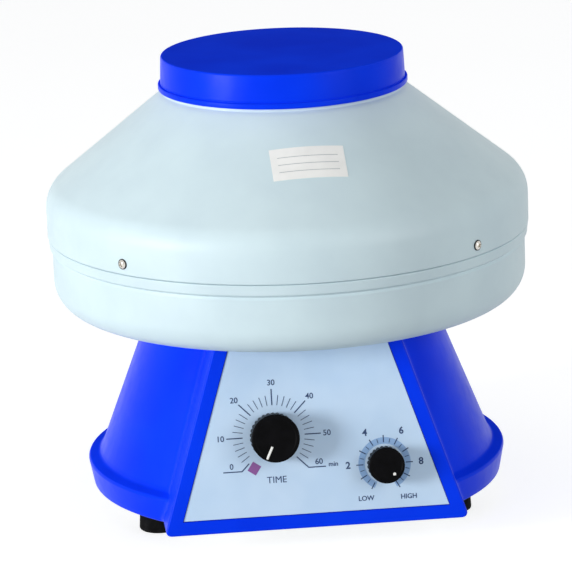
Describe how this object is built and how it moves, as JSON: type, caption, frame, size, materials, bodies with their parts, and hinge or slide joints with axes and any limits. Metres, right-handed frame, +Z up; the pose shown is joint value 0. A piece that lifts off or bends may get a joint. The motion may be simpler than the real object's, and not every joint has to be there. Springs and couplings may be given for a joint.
{
  "type": "clinical centrifuge",
  "caption": "Table-top clinical centrifuge: sloping control panel, conical guard over a round bowl, lift-off lid, fixed-angle tube rotor.",
  "frame": {"origin": "on the table under the rotor's axis, at the middle of the bottom face of the overall box", "axes": "+Z up along the rotor's axis, the control panel faces -Y, +X to the right as seen from the panel"},
  "size_m": [0.33, 0.33, 0.3164],
  "materials": {
    "blue_plastic": "glossy moulded plastic",
    "grey_enamel": "smooth satin stove enamel",
    "panel_print": "screen-printed matt sheet",
    "knob_black": "moulded, fine grain",
    "black_rubber": "moulded rubber",
    "chrome_screw": "bright plated",
    "turned_steel": "turned and ground",
    "zinc_plate": "zinc plated steel",
    "cast_aluminium": "cast and machined",
    "brass": "machined",
    "copper": "enamelled copper winding",
    "laminated_steel": "varnished laminations",
    "carbon": "pressed carbon",
    "inlet_plastic": "moulded nylon",
    "board_resin": "glass-fibre board"
  },
  "bodies": {
    "base": {"base_housing": "blue_plastic", "base_plate": "zinc_plate", "foot_front_left": "black_rubber", "foot_front_right": "black_rubber", "foot_rear_left": "black_rubber", "foot_rear_right": "black_rubber", "foot_screw_front_left": "zinc_plate", "foot_screw_front_right": "zinc_plate", "foot_screw_rear_left": "zinc_plate", "foot_screw_rear_right": "zinc_plate", "control_panel": "panel_print", "lower_bowl": "grey_enamel", "bowl_screw_1": "zinc_plate", "bowl_screw_2": "zinc_plate", "bowl_screw_3": "zinc_plate", "bowl_guard": "grey_enamel", "guard_screw_1": "chrome_screw", "guard_screw_2": "chrome_screw", "guard_screw_3": "chrome_screw", "guard_screw_4": "chrome_screw", "shaft_boot": "black_rubber", "motor_mount_1": "black_rubber", "motor_mount_2": "black_rubber", "motor_mount_3": "black_rubber", "motor_bracket": "zinc_plate", "motor_lower_bell": "cast_aluminium", "motor_upper_bell": "cast_aluminium", "motor_frame": "laminated_steel", "motor_field_core": "laminated_steel", "lower_bearing_outer_race": "turned_steel", "upper_bearing_outer_race": "turned_steel", "brush_left": "carbon", "brush_right": "carbon", "timer_body": "zinc_plate", "timer_nut": "brass", "speed_control_body": "zinc_plate", "speed_control_nut": "brass", "control_board": "board_resin", "heat_sink": "cast_aluminium", "mains_inlet": "inlet_plastic", "fuse_holder": "inlet_plastic"},
    "lid": {"lid": "blue_plastic", "lid_seal": "black_rubber"},
    "rotor": {"motor_shaft": "turned_steel", "armature": "copper", "commutator": "copper", "lower_bearing_inner_race": "turned_steel", "upper_bearing_inner_race": "turned_steel", "rotor_head": "cast_aluminium", "tube_sleeve_1": "turned_steel", "tube_sleeve_2": "turned_steel", "tube_sleeve_3": "turned_steel", "tube_sleeve_4": "turned_steel", "tube_sleeve_5": "turned_steel", "tube_sleeve_6": "turned_steel", "rotor_nut": "brass"},
    "timer": {"timer_knob": "knob_black", "timer_spindle": "turned_steel"},
    "speed": {"speed_knob": "knob_black", "speed_control_spindle": "turned_steel"}
  },
  "joints": [
    {"name": "lid_lift", "type": "slide", "parent": "base", "child": "lid", "axis": [0, 0, 1], "range_m": [0, 0.1]},
    {"name": "rotor_spin", "type": "hinge", "parent": "base", "child": "rotor", "pos_m": [0, 0, 0.24], "axis": [0, 0, 1], "continuous": true},
    {"name": "timer_turn", "type": "hinge", "parent": "base", "child": "timer", "pos_m": [-0.026, -0.1194, 0.08044], "axis": [0, -0.9799, 0.1994], "range_deg": [-289, 0]},
    {"name": "speed_turn", "type": "hinge", "parent": "base", "child": "speed", "pos_m": [0.047, -0.12398, 0.0579], "axis": [0, -0.9799, 0.1994], "range_deg": [-9, 291]}
  ]
}
